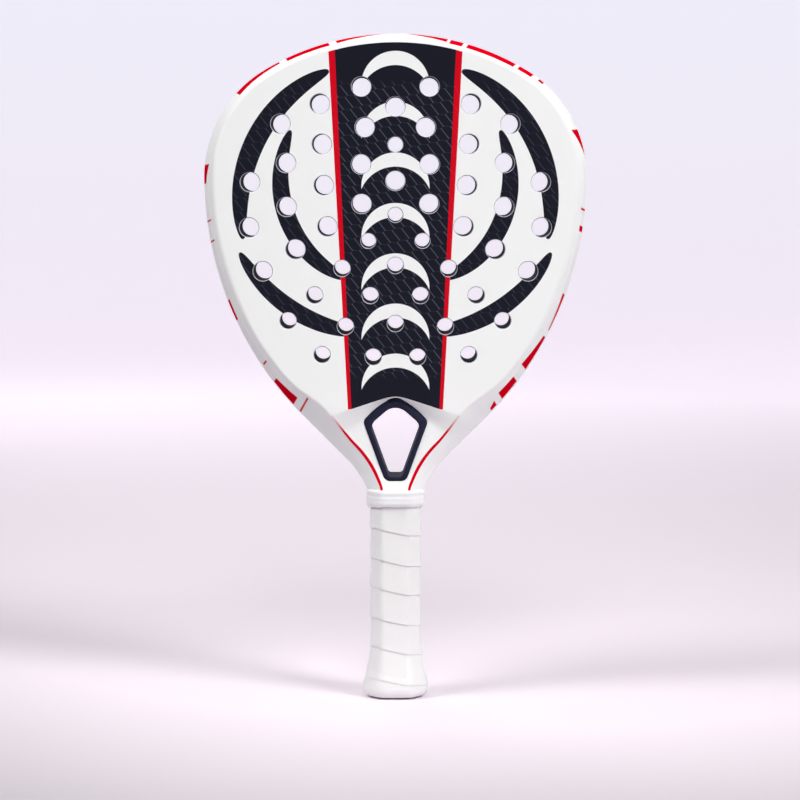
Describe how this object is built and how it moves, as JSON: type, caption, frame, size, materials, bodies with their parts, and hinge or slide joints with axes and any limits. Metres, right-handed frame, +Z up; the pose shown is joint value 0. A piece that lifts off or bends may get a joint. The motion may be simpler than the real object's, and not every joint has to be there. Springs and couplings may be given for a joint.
{
  "type": "padel racket",
  "caption": "Padel racket with a perforated foam-cored head, a moulded throat with a kite-shaped opening, and a taped grip.",
  "frame": {"origin": "centre of the butt's flat base, on which the racket stands upright", "axes": "+Z runs up the handle to the top of the head; the front face looks along -Y; +X is to the right seen from the front"},
  "size_m": [0.26, 0.0414, 0.455],
  "materials": {
    "frame_paint": "satin white lacquer over a moulded fibre tube, red slashes on the rim",
    "frame_foam": "expanded foam fill, sealed in the tube",
    "eva_foam": "fine-celled dark EVA foam, seen in the walls of the holes",
    "face_laminate": "white lacquered fibre skin with a navy band, red stripes and a honeycomb relief",
    "ring_rubber": "satin navy rubber",
    "handle_foam": "rigid foam block in the shaft",
    "pallet_foam": "moulded polyurethane foam",
    "cap_plastic": "fine-grained moulded plastic",
    "pin_steel": "plain steel pins",
    "eyelet_metal": "rolled eyelet",
    "grip_cushion": "foamed cushion sleeve",
    "grip_tape": "thin white polyurethane tape, wound in a helix",
    "end_tape": "thin adhesive tape",
    "collar_rubber": "stretched white rubber ring"
  },
  "bodies": {
    "root": {"frame_tube": "frame_paint", "frame_foam": "frame_foam", "throat_bridge": "frame_paint", "eva_core": "eva_foam", "front_face": "face_laminate", "rear_face": "face_laminate", "front_throat_ring": "ring_rubber", "rear_throat_ring": "ring_rubber", "handle_core": "handle_foam", "front_pallet": "pallet_foam", "rear_pallet": "pallet_foam", "butt_cap": "cap_plastic", "cap_pins": "pin_steel", "cord_eyelet": "eyelet_metal", "base_grip": "grip_cushion", "overgrip": "grip_tape", "finishing_tape": "end_tape", "grip_collar": "collar_rubber"}
  },
  "joints": []
}
